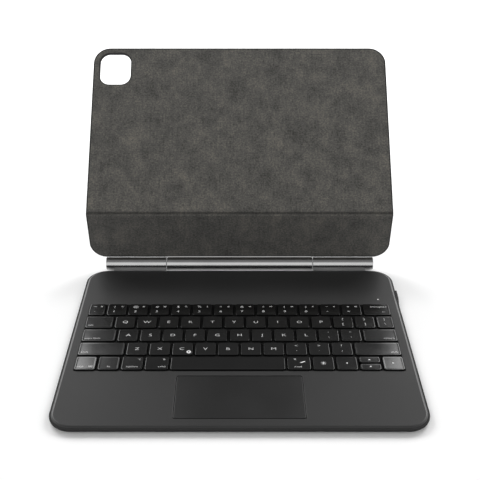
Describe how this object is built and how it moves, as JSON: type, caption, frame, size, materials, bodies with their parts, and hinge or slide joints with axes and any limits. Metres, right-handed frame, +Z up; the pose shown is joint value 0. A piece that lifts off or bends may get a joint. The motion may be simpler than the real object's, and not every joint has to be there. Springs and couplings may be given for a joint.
{
  "type": "tablet keyboard case",
  "caption": "Folding tablet case: slim keyboard base with trackpad, a metal barrel hinge behind it and a two-panel suede-lined lid that holds the tablet above the keys.",
  "frame": {"origin": "centre of the base's underside, on the table", "axes": "+X to the right of someone typing, +Y to the rear, +Z up"},
  "size_m": [0.2846, 0.3492, 0.1783],
  "materials": {
    "outer_cover": "soft-touch polyurethane, fine grain",
    "deck": "soft-touch coating, matt",
    "keys": "fine matt, light printed legends",
    "trackpad": "smooth satin",
    "hinge_barrel": "polished dark grey",
    "hinge_leaf": "anodised grey",
    "lining": "mottled microfibre suede",
    "stiffener": "fibre board",
    "sheet_metal": "plain",
    "steel": "plain",
    "rubber": "matt",
    "clear_plastic": "milky",
    "battery": "foil",
    "circuit_board": "solder mask"
  },
  "bodies": {
    "base": {"battery_left": "battery", "battery_right": "battery", "bottom_cover": "outer_cover", "charging_receptacle": "steel", "deck_shell": "deck", "dome_sheet": "rubber", "friction_shaft_left": "steel", "friction_shaft_right": "steel", "hinge_knuckle_left": "hinge_barrel", "hinge_knuckle_right": "hinge_barrel", "hinge_leaf_left": "hinge_leaf", "hinge_leaf_right": "hinge_leaf", "key_frame": "deck", "key_plate": "sheet_metal", "light_guide": "clear_plastic", "main_board": "circuit_board", "status_light": "clear_plastic", "trackpad_bracket": "sheet_metal", "trackpad_click_switch": "steel"},
    "lid_lower": {"hinge_knuckle_middle": "hinge_barrel", "hinge_leaf_middle": "hinge_leaf", "lower_stiffener": "stiffener", "lower_lining": "lining", "lower_cover": "outer_cover", "fold_skin": "outer_cover"},
    "lid_upper": {"upper_stiffener": "stiffener", "upper_lining": "lining", "upper_cover": "outer_cover", "magnet_bar_left": "steel", "magnet_bar_right": "steel"},
    "trackpad": {"trackpad_plate": "trackpad"},
    "power_slider": {"power_slider": "keys"},
    "key_arrow_down": {"key_arrow_down": "keys"},
    "key_arrow_left": {"key_arrow_left": "keys"},
    "key_arrow_right": {"key_arrow_right": "keys"},
    "key_arrow_up": {"key_arrow_up": "keys"},
    "key_backslash": {"key_backslash": "keys"},
    "key_backspace": {"key_backspace": "keys"},
    "key_brightness": {"key_brightness": "keys"},
    "key_caps_lock": {"key_caps_lock": "keys"},
    "key_command_left": {"key_command_left": "keys"},
    "key_command_right": {"key_command_right": "keys"},
    "key_control": {"key_control": "keys"},
    "key_function": {"key_function": "keys"},
    "key_grave": {"key_grave": "keys"},
    "key_option": {"key_option": "keys"},
    "key_return": {"key_return": "keys"},
    "key_shift_left": {"key_shift_left": "keys"},
    "key_shift_right": {"key_shift_right": "keys"},
    "key_space": {"key_space": "keys"},
    "key_tab": {"key_tab": "keys"},
    "keys_home_left": {"keys_home_left": "keys"},
    "keys_home_right": {"keys_home_right": "keys"},
    "keys_lower_left": {"keys_lower_left": "keys"},
    "keys_lower_right": {"keys_lower_right": "keys"},
    "keys_number_left": {"keys_number_left": "keys"},
    "keys_number_right": {"keys_number_right": "keys"},
    "keys_upper_left": {"keys_upper_left": "keys"},
    "keys_upper_right": {"keys_upper_right": "keys"}
  },
  "joints": [
    {"name": "lid_tilt", "type": "hinge", "parent": "base", "child": "lid_lower", "pos_m": [0, 0.1165, 0.00715], "axis": [1, 0, 0], "range_deg": [-37.5, 82.5]},
    {"name": "lid_fold", "type": "hinge", "parent": "lid_lower", "child": "lid_upper", "pos_m": [0, 0.11546, 0.06077], "axis": [1, 0, 0], "range_deg": [-20, 53.9], "deforming": ["fold_skin"]},
    {"name": "trackpad_press", "type": "hinge", "parent": "base", "child": "trackpad", "pos_m": [0, -0.0485, 0.005], "axis": [1, 0, 0], "range_deg": [0, 0.5], "stiffness_Nm_per_rad": 3, "springref_deg": -0.57},
    {"name": "power_slide", "type": "slide", "parent": "base", "child": "power_slider", "axis": [0, 1, 0], "range_m": [0, 0.003]},
    {"name": "key_arrow_down_press", "type": "slide", "parent": "base", "child": "key_arrow_down", "axis": [0, 0, -1], "range_m": [0, 0.001], "stiffness_N_per_m": 400, "springref_m": -0.001},
    {"name": "key_arrow_left_press", "type": "slide", "parent": "base", "child": "key_arrow_left", "axis": [0, 0, -1], "range_m": [0, 0.001], "stiffness_N_per_m": 400, "springref_m": -0.001},
    {"name": "key_arrow_right_press", "type": "slide", "parent": "base", "child": "key_arrow_right", "axis": [0, 0, -1], "range_m": [0, 0.001], "stiffness_N_per_m": 400, "springref_m": -0.001},
    {"name": "key_arrow_up_press", "type": "slide", "parent": "base", "child": "key_arrow_up", "axis": [0, 0, -1], "range_m": [0, 0.001], "stiffness_N_per_m": 400, "springref_m": -0.001},
    {"name": "key_backslash_press", "type": "slide", "parent": "base", "child": "key_backslash", "axis": [0, 0, -1], "range_m": [0, 0.001], "stiffness_N_per_m": 400, "springref_m": -0.001},
    {"name": "key_backspace_press", "type": "slide", "parent": "base", "child": "key_backspace", "axis": [0, 0, -1], "range_m": [0, 0.001], "stiffness_N_per_m": 400, "springref_m": -0.001},
    {"name": "key_brightness_press", "type": "slide", "parent": "base", "child": "key_brightness", "axis": [0, 0, -1], "range_m": [0, 0.001], "stiffness_N_per_m": 400, "springref_m": -0.001},
    {"name": "key_caps_lock_press", "type": "slide", "parent": "base", "child": "key_caps_lock", "axis": [0, 0, -1], "range_m": [0, 0.001], "stiffness_N_per_m": 400, "springref_m": -0.001},
    {"name": "key_command_left_press", "type": "slide", "parent": "base", "child": "key_command_left", "axis": [0, 0, -1], "range_m": [0, 0.001], "stiffness_N_per_m": 400, "springref_m": -0.001},
    {"name": "key_command_right_press", "type": "slide", "parent": "base", "child": "key_command_right", "axis": [0, 0, -1], "range_m": [0, 0.001], "stiffness_N_per_m": 400, "springref_m": -0.001},
    {"name": "key_control_press", "type": "slide", "parent": "base", "child": "key_control", "axis": [0, 0, -1], "range_m": [0, 0.001], "stiffness_N_per_m": 400, "springref_m": -0.001},
    {"name": "key_function_press", "type": "slide", "parent": "base", "child": "key_function", "axis": [0, 0, -1], "range_m": [0, 0.001], "stiffness_N_per_m": 400, "springref_m": -0.001},
    {"name": "key_grave_press", "type": "slide", "parent": "base", "child": "key_grave", "axis": [0, 0, -1], "range_m": [0, 0.001], "stiffness_N_per_m": 400, "springref_m": -0.001},
    {"name": "key_option_press", "type": "slide", "parent": "base", "child": "key_option", "axis": [0, 0, -1], "range_m": [0, 0.001], "stiffness_N_per_m": 400, "springref_m": -0.001},
    {"name": "key_return_press", "type": "slide", "parent": "base", "child": "key_return", "axis": [0, 0, -1], "range_m": [0, 0.001], "stiffness_N_per_m": 400, "springref_m": -0.001},
    {"name": "key_shift_left_press", "type": "slide", "parent": "base", "child": "key_shift_left", "axis": [0, 0, -1], "range_m": [0, 0.001], "stiffness_N_per_m": 400, "springref_m": -0.001},
    {"name": "key_shift_right_press", "type": "slide", "parent": "base", "child": "key_shift_right", "axis": [0, 0, -1], "range_m": [0, 0.001], "stiffness_N_per_m": 400, "springref_m": -0.001},
    {"name": "key_space_press", "type": "slide", "parent": "base", "child": "key_space", "axis": [0, 0, -1], "range_m": [0, 0.001], "stiffness_N_per_m": 400, "springref_m": -0.001},
    {"name": "key_tab_press", "type": "slide", "parent": "base", "child": "key_tab", "axis": [0, 0, -1], "range_m": [0, 0.001], "stiffness_N_per_m": 400, "springref_m": -0.001},
    {"name": "keys_home_left_press", "type": "slide", "parent": "base", "child": "keys_home_left", "axis": [0, 0, -1], "range_m": [0, 0.001], "stiffness_N_per_m": 400, "springref_m": -0.001},
    {"name": "keys_home_right_press", "type": "slide", "parent": "base", "child": "keys_home_right", "axis": [0, 0, -1], "range_m": [0, 0.001], "stiffness_N_per_m": 400, "springref_m": -0.001},
    {"name": "keys_lower_left_press", "type": "slide", "parent": "base", "child": "keys_lower_left", "axis": [0, 0, -1], "range_m": [0, 0.001], "stiffness_N_per_m": 400, "springref_m": -0.001},
    {"name": "keys_lower_right_press", "type": "slide", "parent": "base", "child": "keys_lower_right", "axis": [0, 0, -1], "range_m": [0, 0.001], "stiffness_N_per_m": 400, "springref_m": -0.001},
    {"name": "keys_number_left_press", "type": "slide", "parent": "base", "child": "keys_number_left", "axis": [0, 0, -1], "range_m": [0, 0.001], "stiffness_N_per_m": 400, "springref_m": -0.001},
    {"name": "keys_number_right_press", "type": "slide", "parent": "base", "child": "keys_number_right", "axis": [0, 0, -1], "range_m": [0, 0.001], "stiffness_N_per_m": 400, "springref_m": -0.001},
    {"name": "keys_upper_left_press", "type": "slide", "parent": "base", "child": "keys_upper_left", "axis": [0, 0, -1], "range_m": [0, 0.001], "stiffness_N_per_m": 400, "springref_m": -0.001},
    {"name": "keys_upper_right_press", "type": "slide", "parent": "base", "child": "keys_upper_right", "axis": [0, 0, -1], "range_m": [0, 0.001], "stiffness_N_per_m": 400, "springref_m": -0.001}
  ]
}
